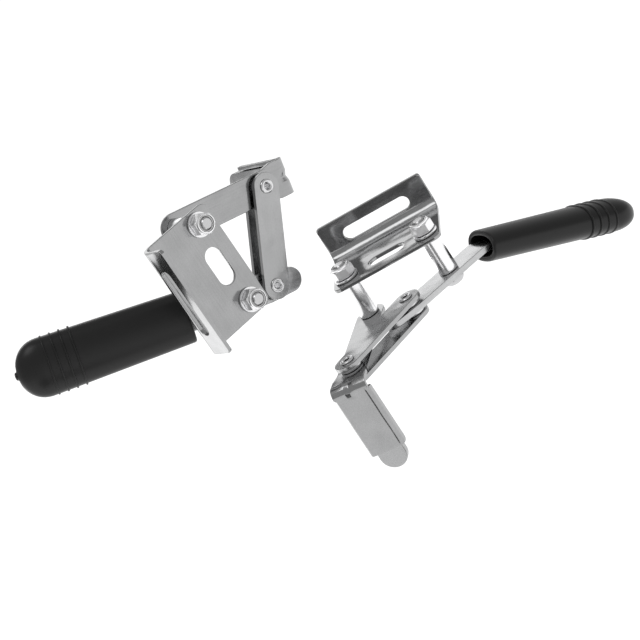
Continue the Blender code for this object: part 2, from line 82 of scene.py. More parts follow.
class Side(Enum):
    """Which of the two mirrored clamps a piece belongs to."""

    LEFT = "left"
    RIGHT = "right"


class Limb(Enum):
    """The CAD bodies of one clamp, by the end of their names."""

    BRACKET = "brackets"
    LEVER = "lever"
    ARM = "arm_body"
    LINKS = "links"


# ---------------------------------------------------------------- node trees


class Socket:
    """An output socket whose sums, products and powers are written as Python."""

    def __init__(self, tree: "Tree", socket: bpy.types.NodeSocket) -> None:
        """Keep the output socket, and the tree that new Math nodes go into."""
        self.tree = tree
        self.socket = socket

    def _sum(self, operation: str, first: Value, second: Value) -> "Socket":
        """Return the result of one Math node on two values."""
        return self.tree.node("ShaderNodeMath", {"operation": operation}, {0: first, 1: second})

    def __add__(self, other: Value) -> "Socket":
        """Return self plus other."""
        return self._sum("ADD", self, other)

    def __radd__(self, other: Value) -> "Socket":
        """Return other plus self."""
        return self._sum("ADD", other, self)

    def __sub__(self, other: Value) -> "Socket":
        """Return self minus other."""
        return self._sum("SUBTRACT", self, other)

    def __mul__(self, other: Value) -> "Socket":
        """Return self times other."""
        return self._sum("MULTIPLY", self, other)

    def __rmul__(self, other: Value) -> "Socket":
        """Return other times self."""
        return self._sum("MULTIPLY", other, self)

    def __truediv__(self, other: Value) -> "Socket":
        """Return self divided by other."""
        return self._sum("DIVIDE", self, other)

    def __pow__(self, other: Value) -> "Socket":
        """Return self to the power of other."""
        return self._sum("POWER", self, other)

    def size(self) -> "Socket":
        """Return the value without its sign."""
        return self._sum("ABSOLUTE", self, 0.0)

    def sign(self) -> "Socket":
        """Return the value's sign."""
        return self._sum("SIGN", self, 0.0)


class Tree:
    """Adds nodes to one shader or geometry tree."""

    def __init__(self, nodes: bpy.types.NodeTree) -> None:
        """Keep a material's or a modifier's node tree."""
        self.nodes = nodes

    def node(self, kind: str, settings: dict, values: dict, out: Union[int, str] = 0) -> Socket:
        """Add a node, set it up and feed its sockets.

        Args:
            kind: The node's type.
            settings: Its settings.
            values: What goes into its sockets, by name or number.
            out: The output to return, by name or number.

        Returns:
            The chosen output.
        """
        made = self.nodes.nodes.new(kind)
        for key, value in settings.items():
            setattr(made, key, value)
        for key, value in values.items():
            self.feed(made.inputs[key], value)
        return Socket(self, made.outputs[out])

    def feed(self, target: bpy.types.NodeSocket, value: Value) -> None:
        """Link a socket to the target, or set the target's own value.

        Args:
            target: The input socket.
            value: A socket to link, or a plain value.
        """
        if isinstance(value, Socket):
            self.nodes.links.new(value.socket, target)
        else:
            target.default_value = value

    def lined(self, grain: Matrix) -> Socket:
        """Return a piece's coordinates with X turned along its grain.

        Args:
            grain: The turn from the row frame.

        Returns:
            The coordinates, in metres.
        """
        place = self.node("ShaderNodeTexCoord", {}, {}, "Object")
        turn = tuple(grain.to_euler())
        return self.node("ShaderNodeMapping", {}, {"Vector": place, "Rotation": turn})

    def noise(self, place: Socket, scale: float, detail: float, rough: float = 0.5) -> Socket:
        """Return smooth noise from 0 to 1, with a number of cells in a metre and finer layers."""
        values = {"Vector": place, "Scale": scale, "Detail": detail, "Roughness": rough}
        return self.node("ShaderNodeTexNoise", {}, values, "Fac")

    def bump(self, height: Socket, strength: float, distance: float, **over: Socket) -> Socket:
        """Return a normal that follows a height, over another normal if one is given."""
        values = {"Strength": strength, "Distance": distance, "Height": height, **over}
        return self.node("ShaderNodeBump", {}, values, "Normal")

    def tint(self, level: Socket, green: float, blue: float) -> Socket:
        """Return a colour from a level of red and its ratios of green and blue."""
        values = {0: level, 1: level * green, 2: level * blue}
        return self.node("ShaderNodeCombineColor", {}, values)


def new_material(name: str) -> tuple[bpy.types.Material, Tree, bpy.types.Node]:
    """Make a material with an empty Principled shader.

    Args:
        name: The material's name.

    Returns:
        The material, its tree and its Principled node.
    """
    made = bpy.data.materials.new(name)
    made.use_nodes = True
    return made, Tree(made.node_tree), made.node_tree.nodes["Principled BSDF"]


# ---------------------------------------------------------------- finishes


class Finish:
    """A kind of surface, made afresh as a material for each piece."""

    def material(self, name: str, grain: Matrix) -> bpy.types.Material:
        """Make the finish.

        Args:
            name: The material's name.
            grain: The turn from the row frame to one with X along the rolling direction.

        Returns:
            The material.
        """
        made, tree, shader = new_material(name)
        self.paint(tree, shader, grain)
        return made

    def paint(self, tree: Tree, shader: bpy.types.Node, grain: Matrix) -> None:
        """Add the finish's nodes to the tree and feed its Principled node."""
        raise NotImplementedError


@dataclass(frozen=True)
class ZincPlate(Finish):
    """Bright zinc over rolled steel, with faint streaks along the rolling direction."""

    colour: float = 0.355
    roughness: float = 0.17
    streak: float = 0.24
    mottle: float = 0.26
    speck: float = 0.2
    bump: float = 0.08
    waves: float = 0.0012

    def paint(self, tree: Tree, shader: bpy.types.Node, grain: Matrix) -> None:
        """Add slow waves, long streaks, clouds and specks.

        Args:
            tree: The material's tree.
            shader: Its Principled node.
            grain: The turn to the rolling direction.
        """
        lined = tree.lined(grain)
        fine = tree.node("ShaderNodeMapping", {}, {"Vector": lined, "Scale": (35.0, 900.0, 900.0)})
        waves = tree.noise(lined, 55.0, 1.0, 0.4)
        streaks = tree.noise(fine, 1.0, 3.0, 0.6)
        clouds = tree.noise(lined, 70.0, 4.0, 0.55)
        specks = tree.noise(lined, 1100.0, 2.0)
        level = self.colour * (1.0 + self.streak * (streaks - 0.5) + self.mottle * (clouds - 0.5)
                               + self.speck * (specks - 0.5))
        rough = self.roughness * (1.0 + 0.5 * (clouds - 0.5) + 0.6 * (streaks - 0.5))
        wavy = tree.bump(waves, 1.0, self.waves)
        tree.feed(shader.inputs["Base Color"], tree.tint(level, 1.005, 1.012))
        tree.feed(shader.inputs["Roughness"], rough)
        tree.feed(shader.inputs["Normal"], tree.bump(streaks, self.bump, 0.0001, Normal=wavy))
        shader.inputs["Metallic"].default_value = 1.0


@dataclass(frozen=True)
class TurnedZinc(Finish):
    """Zinc on turned hardware: brighter, with no rolling direction."""

    colour: float = 0.62
    roughness: float = 0.2

    def paint(self, tree: Tree, shader: bpy.types.Node, grain: Matrix) -> None:
        """Add fine spots.

        Args:
            tree: The material's tree.
            shader: Its Principled node.
            grain: The turn to the piece's own frame.
        """
        spots = tree.noise(tree.lined(grain), 420.0, 3.0)
        level = self.colour * (0.94 + 0.12 * spots)
        tree.feed(shader.inputs["Base Color"], tree.tint(level, 1.0, 1.01))
        tree.feed(shader.inputs["Roughness"], self.roughness * (0.8 + 0.4 * spots))
        shader.inputs["Metallic"].default_value = 1.0


@dataclass(frozen=True)
class Rubber(Finish):
    """Black moulded rubber with a soft sheen."""

    colour: float = 0.008
    roughness: float = 0.33
    sheen: float = 0.36

    def paint(self, tree: Tree, shader: bpy.types.Node, grain: Matrix) -> None:
        """Add pores and wear.

        Args:
            tree: The material's tree.
            shader: Its Principled node.
            grain: Not used: moulded rubber has no grain.
        """
        place = tree.node("ShaderNodeTexCoord", {}, {}, "Object")
        pores = tree.noise(place, 2600.0, 2.0)
        wear = tree.noise(place, 60.0, 4.0)
        shader.inputs["Base Color"].default_value = (self.colour, self.colour, self.colour, 1.0)
        shader.inputs["Specular IOR Level"].default_value = self.sheen
        tree.feed(shader.inputs["Roughness"], self.roughness * (0.85 + 0.3 * wear))
        tree.feed(shader.inputs["Normal"], tree.bump(pores, 0.08, 0.0001))


@dataclass(frozen=True)
class Nylon(Finish):
    """Pale nylon of a lock nut's insert."""

    colour: float = 0.62
    roughness: float = 0.45

    def paint(self, tree: Tree, shader: bpy.types.Node, grain: Matrix) -> None:
        """Set the plain colour. Nylon has no grain."""
        shader.inputs["Base Color"].default_value = (self.colour, self.colour, self.colour, 1.0)
        shader.inputs["Roughness"].default_value = self.roughness


def add_object(name: str, data: bpy.types.ID) -> bpy.types.Object:
    """Make an object and link it to the scene.

    Args:
        name: Its name.
        data: Its mesh, light or camera.

    Returns:
        The object.
    """
    made = bpy.data.objects.new(name, data)
    bpy.context.scene.collection.objects.link(made)
    return made


# ---------------------------------------------------------------- outlines


def circle(x: float, y: float, r: float, steps: int = 64) -> Outline:
    """Return a round outline's points, anticlockwise."""
    turns = [2 * math.pi * i / steps for i in range(steps)]
    return [(x + r * math.cos(a), y + r * math.sin(a)) for a in turns]


def arc(x: float, y: float, r: float, start: float, turn: float, steps: int) -> Outline:
    """Return an arc's points, both ends included, from its start and turn in degrees."""
    angles = [math.radians(start + turn * i / steps) for i in range(steps + 1)]
    return [(x + r * math.cos(a), y + r * math.sin(a)) for a in angles]


def slot(x: float, y: float, length: float, width: float, steps: int = 24) -> Outline:
    """Return a slot along X with round ends.

    Args:
        x: The centre's first coordinate.
        y: The centre's second coordinate.
        length: The overall length.
        width: The overall width.
        steps: The steps in each round end.

    Returns:
        The points, anticlockwise.
    """
    r = width / 2
    half = length / 2 - r
    return arc(x + half, y, r, -90, 180, steps) + arc(x - half, y, r, 90, 180, steps)


def rounded(corners: list[tuple[float, float, float]], steps: int = 8) -> Outline:
    """Return an outline with each corner rounded.

    Args:
        corners: The corners as (x, y, radius), in order.
        steps: The steps in each rounded corner.

    Returns:
        The points, in the corners' order.
    """
    points = []
    for i, (x, y, r) in enumerate(corners):
        here = Vector((x, y))
        if r <= 0:
            points.append((x, y))
            continue
        before = (Vector(corners[i - 1][:2]) - here).normalized()
        after = (Vector(corners[(i + 1) % len(corners)][:2]) - here).normalized()
        half = before.angle(after) / 2
        middle = here + (before + after).normalized() * (r / math.sin(half))
        a = here + before * (r / math.tan(half)) - middle
        b = here + after * (r / math.tan(half)) - middle
        turn = math.atan2(a.x * b.y - a.y * b.x, a.dot(b))
        start = math.atan2(a.y, a.x)
        for k in range(steps + 1):
            angle = start + turn * k / steps
            points.append((middle.x + r * math.cos(angle), middle.y + r * math.sin(angle)))
    return points


def area(loop: Outline) -> float:
    """Return the signed area inside a loop, positive if it runs anticlockwise."""
    pairs = zip(loop, loop[1:] + loop[:1])
    return sum(a[0] * b[1] - a[1] * b[0] for a, b in pairs) / 2


def inset(loop: Outline, distance: float) -> Outline:
    """Move a loop's sides to its left by a distance, with mitred corners.

    Args:
        loop: The outline.
        distance: How far the sides move, leftwards of the way they run.

    Returns:
        The moved outline, point for point.
    """
    moved = []
    for i, point in enumerate(loop):
        here = Vector(point)
        into = (here - Vector(loop[i - 1])).normalized()
        away = (Vector(loop[(i + 1) % len(loop)]) - here).normalized()
        side_a, side_b = Vector((-into.y, into.x)), Vector((-away.y, away.x))
        middle = (side_a + side_b).normalized()
        here += middle * (distance / max(0.5, middle.dot(side_a)))
        moved.append((here.x, here.y))
    return moved


# ---------------------------------------------------------------- solids


def join_rings(bm: bmesh.types.BMesh, a: list, b: list) -> None:
    """Join two rings of vertices, or a ring and a pole, with faces.

    Args:
        bm: The mesh.
        a: The first ring's vertices.
        b: The second ring's vertices.
    """
    if len(a) == 1 and len(b) == 1:
        return
    count = max(len(a), len(b))
    for i in range(count):
        j = (i + 1) % count
        corners = [a[i % len(a)], a[j % len(a)], b[j % len(b)], b[i % len(b)]]
        bm.faces.new(list(dict.fromkeys(corners)))


def plate(outline: Outline, holes: list[Outline], low: float, high: float,
          edge: float = 0.3) -> bmesh.types.BMesh:
    """Make a flat plate with holes and softly rounded edges.

    Args:
        outline: The plate's outline.
        holes: The holes' outlines.
        low: The lower face's height.
        high: The upper face's height.
        edge: The radius of the rounded edges.

    Returns:
        The plate, lying flat.
    """
    bm = bmesh.new()
    knee = edge * KNEE
    levels = [(low, edge), (low + knee, knee), (low + edge, 0.0),
              (high - edge, 0.0), (high - knee, knee), (high, edge)]
    rims: dict[float, list] = {low: [], high: []}
    for number, loop in enumerate([outline] + holes):
        anticlockwise = area(loop) > 0
        way = 1.0 if anticlockwise == (number == 0) else -1.0
        rings = [[bm.verts.new((x, y, z)) for x, y in inset(loop, way * step)]
                 for z, step in levels]
        for a, b in zip(rings, rings[1:]):
            join_rings(bm, a, b)
        rims[low].append(rings[0])
        rims[high].append(rings[-1])
    for rings in rims.values():
        edges = []
        for ring in rings:
            for a, b in zip(ring, ring[1:] + ring[:1]):
                edges.append(bm.edges.get((a, b)))
        bmesh.ops.triangle_fill(bm, use_beauty=True, edges=edges, normal=(0, 0, 1))
    return bm


@dataclass(frozen=True)
class Fold:
    """A bend in a flat plate about a line across it.

    Attributes:
        axis: 0 if the fold moves along X, 1 if along Y.
        start: Where the bend starts.
        way: 1 or -1, the direction in which the plate beyond the bend lies.
        inner: The inner radius.
        angle: The turn in degrees.
        face: The height of the face on the inside of the bend.
        side: 1 if the plate turns upwards, -1 if downwards.
        thick: The plate's thickness.
        steps: The number of strips in the bend.
    """

    axis: int
    start: float
    way: int
    inner: float
    angle: float
    face: float
    side: int
    thick: float
    steps: int = 12

    @property
    def arc(self) -> float:
        """Return the length of flat plate that the bend takes up."""
        return math.radians(self.angle) * (self.inner + self.thick / 2)

    def cut(self, bm: bmesh.types.BMesh) -> None:
        """Cut rows of edges across the flat plate where it will bend."""
        rows = [self.start + self.way * self.arc * i / self.steps for i in range(self.steps + 1)]
        cut_rows(bm, self.axis, rows)

    def bend(self, bm: bmesh.types.BMesh, only: Callable[[Vector], bool] = lambda co: True) -> None:
        """Bend the plate.

        Args:
            bm: The flat plate, already cut.
            only: Says which vertices the bend reaches.
        """
        turn = math.radians(self.angle)
        middle = self.inner + self.thick / 2
        centre = self.face + self.side * self.inner
        for v in bm.verts:
            s = self.way * (v.co[self.axis] - self.start)
            if s <= 0 or not only(v.co):
                continue
            rho = self.side * (centre - v.co.z)
            phi = min(s / middle, turn)
            rest = max(0.0, s - middle * turn)
            out = rho * math.sin(phi) + rest * math.cos(phi)
            v.co[self.axis] = self.start + self.way * out
            v.co.z = centre - self.side * (rho * math.cos(phi) - rest * math.sin(phi))


def cut_rows(bm: bmesh.types.BMesh, axis: int, rows: list[float]) -> None:
    """Cut rows of edges right across a plate.

    Args:
        bm: The plate.
        axis: 0 for rows at values of X, 1 for rows at values of Y.
        rows: The values.
    """
    normal = (1, 0, 0) if axis == 0 else (0, 1, 0)
    for value in rows:
        point = tuple(value * n for n in normal)
        bmesh.ops.bisect_plane(bm, geom=bm.verts[:] + bm.edges[:] + bm.faces[:], dist=1e-5,
                               plane_co=point, plane_no=normal)


def lathe(profile: Outline, segments: int = 72) -> bmesh.types.BMesh:
    """Turn a closed outline about the W axis.

    Args:
        profile: The outline as (radius, height) points. Radius 0 makes a pole.
        segments: The number of sides.

    Returns:
        The turned solid.
    """
    bm = bmesh.new()
    rings = []
    for r, z in profile:
        points = circle(0.0, 0.0, r, segments) if r > 1e-9 else [(0.0, 0.0)]
        rings.append([bm.verts.new((x, y, z)) for x, y in points])
    for a, b in zip(rings, rings[1:] + rings[:1]):
        join_rings(bm, a, b)
    return bm


def tube(outer: float, inner: float, low: float, high: float, edge: float) -> bmesh.types.BMesh:
    """Make a tube with rounded edges.

    Args:
        outer: The outer radius.
        inner: The bore's radius.
        low: The lower end.
        high: The upper end.
        edge: The radius of the rounded edges.

    Returns:
        The tube.
    """
    knee = edge * KNEE
    profile = [(inner, low + edge), (inner + knee, low + knee), (inner + edge, low),
               (outer - edge, low), (outer - knee, low + knee), (outer, low + edge),
               (outer, high - edge), (outer - knee, high - knee), (outer - edge, high),
               (inner + edge, high), (inner + knee, high - knee), (inner, high - edge)]
    return lathe(profile)


def oval(bm: bmesh.types.BMesh, x: float, half_y: float, half_z: float, power: float,
         segments: int = 96) -> list:
    """Add a squarish oval ring across X.

    Args:
        bm: The mesh.
        x: The ring's place.
        half_y: Half its width.
        half_z: Half its height.
        power: 2 for an ellipse, more for a squarer ring.
        segments: The number of vertices.

    Returns:
        The ring's vertices.
    """
    ring = []
    for i in range(segments):
        a = 2 * math.pi * i / segments
        c, s = math.cos(a), math.sin(a)
        y = half_y * math.copysign(abs(c) ** (2 / power), c)
        z = half_z * math.copysign(abs(s) ** (2 / power), s)
        ring.append(bm.verts.new((x, y, z)))
    return ring


# ---------------------------------------------------------------- a clamp's frame


def shift(x: float, y: float, w: float) -> Matrix:
    """Return the matrix of a shift."""
    return Matrix.Translation((x, y, w))


def spin(angle: float) -> Matrix:
    """Return the matrix of a turn about W, by an angle in radians."""
    return Matrix.Rotation(angle, 4, "Z")


@dataclass(frozen=True)
class Linkage:
    """Sizes that the pieces of one clamp share.

    Attributes:
        sheet: Thickness of the bracket's and arm's sheet.
        sleeve: Length of a sleeve between the bracket and the moving pieces.
        bar: Thickness of the lever's bar.
        link: Thickness of a link plate.
        link_gap: Distance between the two link plates.
        arm_reach: Arm's bolt to the arm's rivet.
        link_span: Rivet to rivet.
        bolt_r: Radius of the M8 bolts.
        rivet_r: Radius of the hollow rivets.
    """

    sheet: float = 2.5
    sleeve: float = 24.9
    bar: float = 4.0
    link: float = 3.0
    link_gap: float = 8.4
    arm_reach: float = 68.0
    link_span: float = 62.5
    bolt_r: float = 4.0
    rivet_r: float = 3.0

    @property
    def layer(self) -> float:
        """Return the height of the lever's and arm's faces towards the bracket."""
        return -self.sheet - self.sleeve - 2 * GAP

    @property
    def front_link(self) -> float:
        """Return the height of the front link's back face."""
        return self.layer + (self.link_gap - self.bar) / 2

    @property
    def rear_link(self) -> float:
        """Return the height of the rear link's front face."""
        return self.front_link - self.link_gap


LINKAGE = Linkage()


class Clamp:
    """One clamp's frame and the places of its moving pieces at rest."""

    def __init__(self, side: Side) -> None:
        """Work the frame out from the record's joints.

        Args:
            side: Which clamp it is.
        """
        self.side = side
        joints = {j["name"]: j for j in frame["joints"]}
        lever, arm, link = (joints[f"{side.value}_{name}_pivot"]
                            for name in ("lever", "arm", "link"))
        hand = 1.0 if side is Side.LEFT else -1.0
        turn_axis = Vector(lever["axis"]).normalized()
        at_lever, at_arm, at_link = (Vector(j["pos_m"]) / MM for j in (lever, arm, link))
        along = at_lever - at_arm
        along -= turn_axis * along.dot(turn_axis)
        self.span = along.length
        self.x = along.normalized()
        self.w = turn_axis * hand
        self.y = turn_axis.cross(self.x)
        self.origin = at_arm - self.w * (LINKAGE.layer - LINKAGE.sheet / 2)
        arm_to_link = at_link - at_arm
        pivot = Vector((arm_to_link.dot(self.x), arm_to_link.dot(self.y)))
        self.lever_reach = (pivot - Vector((self.span, 0.0))).length
        self.lever_angle = math.atan2(pivot.y, pivot.x - self.span)
        self.arm_angle = self._close(pivot)
        rivet = Vector((math.cos(self.arm_angle), math.sin(self.arm_angle))) * LINKAGE.arm_reach
        run = rivet - pivot
        self.link_angle = math.atan2(run.y, run.x)
        self.pivot = pivot

    @staticmethod
    def _close(pivot: Vector) -> float:
        """Return the arm's angle that closes the linkage.

        Args:
            pivot: The link's pivot on the lever.

        Returns:
            The angle in radians.
        """
        reach, far = LINKAGE.arm_reach, pivot.length
        opening = math.acos((reach ** 2 + far ** 2 - LINKAGE.link_span ** 2) / (2 * reach * far))
        return math.atan2(pivot.y, pivot.x) + opening

    def place(self, limb: Limb) -> Matrix:
        """Return the matrix from a limb's own frame, in millimetres, to the row frame.

        Args:
            limb: The limb.

        Returns:
            The matrix.
        """
        axes = Matrix((self.x, self.y, self.w)).transposed().to_4x4()
        axes.translation = self.origin
        clamp = Matrix.Scale(MM, 4) @ axes
        if limb is Limb.LEVER:
            return clamp @ shift(self.span, 0, 0) @ spin(self.lever_angle)
        if limb is Limb.ARM:
            return clamp @ spin(self.arm_angle)
        if limb is Limb.LINKS:
            return clamp @ shift(self.pivot.x, self.pivot.y, 0) @ spin(self.link_angle)
        return clamp

    def grain(self, limb: Limb) -> Matrix:
        """Return the turn from the row frame to a limb's own frame.

        Args:
            limb: The limb.

        Returns:
            A turn with no scale, the same for both hands.
        """
        turn = self.place(limb).to_3x3()
        turn.col[2] = turn.col[0].cross(turn.col[1])
        return turn.normalized().inverted()

    def body(self, limb: Limb) -> str:
        """Return the name of the CAD body that a limb is."""
        return limb.value if limb is Limb.BRACKET else f"{self.side.value}_{limb.value}"

    def finish_piece(self, node: str, bm: bmesh.types.BMesh, limb: Limb, finish: Finish,
                     local: Matrix = Matrix.Identity(4)) -> bpy.types.Object:
        """Put a finished piece in place of a CAD node.

        Args:
            node: The CAD node's name, without the clamp's side.
            bm: The piece, in its limb's frame, which is used up.
            limb: The limb that it moves with.
            finish: Its finish.
            local: Its place in the limb's frame.

        Returns:
            The piece's object.
        """
        full = f"{self.side.value}_{node}"
        bm.transform(self.place(limb) @ local)
        bmesh.ops.remove_doubles(bm, verts=bm.verts[:], dist=WELD)
        bmesh.ops.recalc_face_normals(bm, faces=bm.faces[:])
        mesh = bpy.data.meshes.new(f"{full}_shape")
        bm.to_mesh(mesh)
        bm.free()
        made = add_object(f"{full}_shape", mesh)
        mesh.materials.append(finish.material(f"{full}_finish", self.grain(limb)))
        shade(made)
        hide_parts(full)
        self.mount(made, limb)
        return made

    def mount(self, made: bpy.types.Object, limb: Limb) -> None:
        """Make an object ride on its body, and log how many faces it has.

        Args:
            made: The object.
            limb: The limb that it moves with.
        """
        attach(made, self.body(limb))
        log.info("%s: %d faces", made.name, len(made.data.polygons))


def shade(made: bpy.types.Object, sharp: float = 40.0) -> None:
    """Shade an object smooth with its flats kept flat, and leave a plain mesh.

    Args:
        made: The object.
        sharp: The angle in degrees above which an edge stays sharp.
    """
    for face in made.data.polygons:
        face.use_smooth = True
    made.data.set_sharp_from_angle(angle=math.radians(sharp))
    weights = made.modifiers.new("weights", "WEIGHTED_NORMAL")
    weights.keep_sharp = True
    settle(made)


def settle(made: bpy.types.Object) -> None:
    """Turn an object's evaluated shape into its plain mesh.

    Args:
        made: The object, whose modifiers are removed.
    """
    evaluated = made.evaluated_get(bpy.context.evaluated_depsgraph_get())
    mesh = bpy.data.meshes.new_from_object(evaluated)
    made.modifiers.clear()
    made.data = mesh


# ---------------------------------------------------------------- repeated features


class Feature:
    """A geometry tree with named inputs, whose result becomes a plain mesh."""

    def __init__(self, name: str, inputs: dict[str, str]) -> None:
        """Make the tree and its inputs, and let the subclass fill it.

        Args:
            name: The tree's name.
            inputs: The kind of each named input.
        """
        self.group = bpy.data.node_groups.new(name, "GeometryNodeTree")
        sockets = self.group.interface
        sockets.new_socket("Geometry", in_out="OUTPUT", socket_type="NodeSocketGeometry")
        self.inputs = {}
        for key, kind in {**inputs, "Material": "Material"}.items():
            made = sockets.new_socket(key, in_out="INPUT", socket_type=f"NodeSocket{kind}")
            self.inputs[key] = made.identifier
        tree = Tree(self.group)
        start = self.group.nodes.new("NodeGroupInput")
        sizes = {socket.name: Socket(tree, socket) for socket in start.outputs if socket.name}
        shape = self.build(tree, sizes)
        real = tree.node("GeometryNodeRealizeInstances", {}, {"Geometry": shape})
        dressed = tree.node("GeometryNodeSetMaterial", {},
                            {"Geometry": real, "Material": sizes["Material"]})
        end = self.group.nodes.new("NodeGroupOutput")
        tree.feed(end.inputs[0], dressed)

    def build(self, tree: Tree, sizes: dict[str, Socket]) -> Socket:
        """Add the nodes that make the shape from the named inputs, and return its geometry."""
        raise NotImplementedError

    def make(self, name: str, place: Matrix, values: dict) -> bpy.types.Object:
        """Run the tree and keep its result as a plain mesh in the row frame.

        Args:
            name: The object's name.
            place: Its place, which goes into the mesh.
            values: A value for each named input.

        Returns:
            The object.
        """
        made = add_object(name, bpy.data.meshes.new(name))
        run = made.modifiers.new("feature", "NODES")
        run.node_group = self.group
        for key, value in values.items():
            run[self.inputs[key]] = value
        settle(made)
        bm = bmesh.new()
        bm.from_mesh(made.data)
        bm.transform(place)
        bmesh.ops.recalc_face_normals(bm, faces=bm.faces[:])
        bm.to_mesh(made.data)
        bm.free()
        return made


class RibRow(Feature):
    """A wire swept round a squarish oval and repeated in a row along X."""

    def __init__(self) -> None:
        """Name the inputs."""
        super().__init__("rib_row", {"Half Width": "Float", "Half Height": "Float",
                                     "Power": "Float", "Wire": "Float", "Pitch": "Float",
                                     "Count": "Int"})

    def build(self, tree: Tree, sizes: dict[str, Socket]) -> Socket:
        """Sweep the wire and repeat it.

        Args:
            tree: The tree to fill.
            sizes: The named inputs.

        Returns:
            The ribs.
        """
        ring = tree.node("GeometryNodeCurvePrimitiveCircle", {}, {"Resolution": 96, "Radius": 1.0})
        place = tree.node("GeometryNodeInputPosition", {}, {})
        across = tree.node("ShaderNodeSeparateXYZ", {}, {0: place}, 0)
        up = tree.node("ShaderNodeSeparateXYZ", {}, {0: place}, 1)
        bulge = tree.node("ShaderNodeMath", {"operation": "DIVIDE"}, {0: 2.0, 1: sizes["Power"]})
        wide = across.sign() * across.size() ** bulge * sizes["Half Width"]
        high = up.sign() * up.size() ** bulge * sizes["Half Height"]
        moved = tree.node("ShaderNodeCombineXYZ", {}, {0: 0.0, 1: wide, 2: high})
        shaped = tree.node("GeometryNodeSetPosition", {}, {"Geometry": ring, "Position": moved})
        wire = tree.node("GeometryNodeCurvePrimitiveCircle", {},
                         {"Resolution": 10, "Radius": sizes["Wire"]})
        swept = tree.node("GeometryNodeCurveToMesh", {}, {"Curve": shaped, "Profile Curve": wire})
        step = tree.node("ShaderNodeCombineXYZ", {}, {0: sizes["Pitch"], 1: 0.0, 2: 0.0})
        row = tree.node("GeometryNodeMeshLine", {"mode": "OFFSET"},
                        {"Count": sizes["Count"], "Offset": step})
        return tree.node("GeometryNodeInstanceOnPoints", {}, {"Points": row, "Instance": swept})


class Thread(Feature):
    """A screw thread's crest, wound round the W axis."""

    def __init__(self) -> None:
        """Name the inputs."""
        super().__init__("thread", {"Radius": "Float", "Length": "Float", "Pitch": "Float",
                                    "Crest": "Float"})

    def build(self, tree: Tree, sizes: dict[str, Socket]) -> Socket:
        """Sweep a small square, corner outwards, along a helix.

        Args:
            tree: The tree to fill.
            sizes: The named inputs.

        Returns:
            The thread.
        """
        helix = tree.node("GeometryNodeCurveSpiral", {},
                          {"Resolution": 32, "Rotations": sizes["Length"] / sizes["Pitch"],
                           "Start Radius": sizes["Radius"], "End Radius": sizes["Radius"],
                           "Height": sizes["Length"]})
        crest = tree.node("GeometryNodeCurvePrimitiveCircle", {},
                          {"Resolution": 4, "Radius": sizes["Crest"]})
        return tree.node("GeometryNodeCurveToMesh", {},
                         {"Curve": helix, "Profile Curve": crest, "Fill Caps": True})


# ---------------------------------------------------------------- sub-assemblies


@dataclass(frozen=True)
class Bracket:
    """The folded bracket: flange 1 carries the bolts and flange 2 takes the rail."""

    end_margin: float = 9.5
    front_margin: float = 12.0
    rail_face: float = 43.0
    rise: float = 24.0
    bend: float = 6.5
    corner: float = 5.0
    edge_corner: float = 2.5
    rail_slot: Point = (47.5, 9.0)
    rail_slot_edge: float = 12.5
    side_slot: Point = (26.0, 12.0)
    side_slot_back: float = 3.7

    def build(self, clamp: Clamp) -> None:
        """Fold the bracket and put it on its clamp.

        Args:
            clamp: The clamp.
        """
        sheet = LINKAGE.sheet
        fold = Fold(1, self.bend + sheet - self.rail_face, -1, self.bend, 90, 0.0, 1, sheet, 16)
        rear = fold.start - fold.arc - (self.rise - self.bend)
        left, right = -self.end_margin, clamp.span + self.end_margin
        outline = rounded([(left, self.front_margin, self.corner), (left, rear, self.edge_corner),
                           (right, rear, self.edge_corner),
                           (right, self.front_margin, self.corner)])
        middle = clamp.span / 2
        bore = LINKAGE.bolt_r + GAP
        holes = [circle(0, 0, bore), circle(clamp.span, 0, bore),
                 slot(middle, -self.side_slot_back, *self.side_slot),
                 slot(middle, rear + self.rail_slot_edge, *self.rail_slot)]
        bm = plate(outline, holes, -sheet, 0.0, 0.5)
        fold.cut(bm)
        fold.bend(bm)
        clamp.finish_piece("bracket", bm, Limb.BRACKET, ZincPlate())


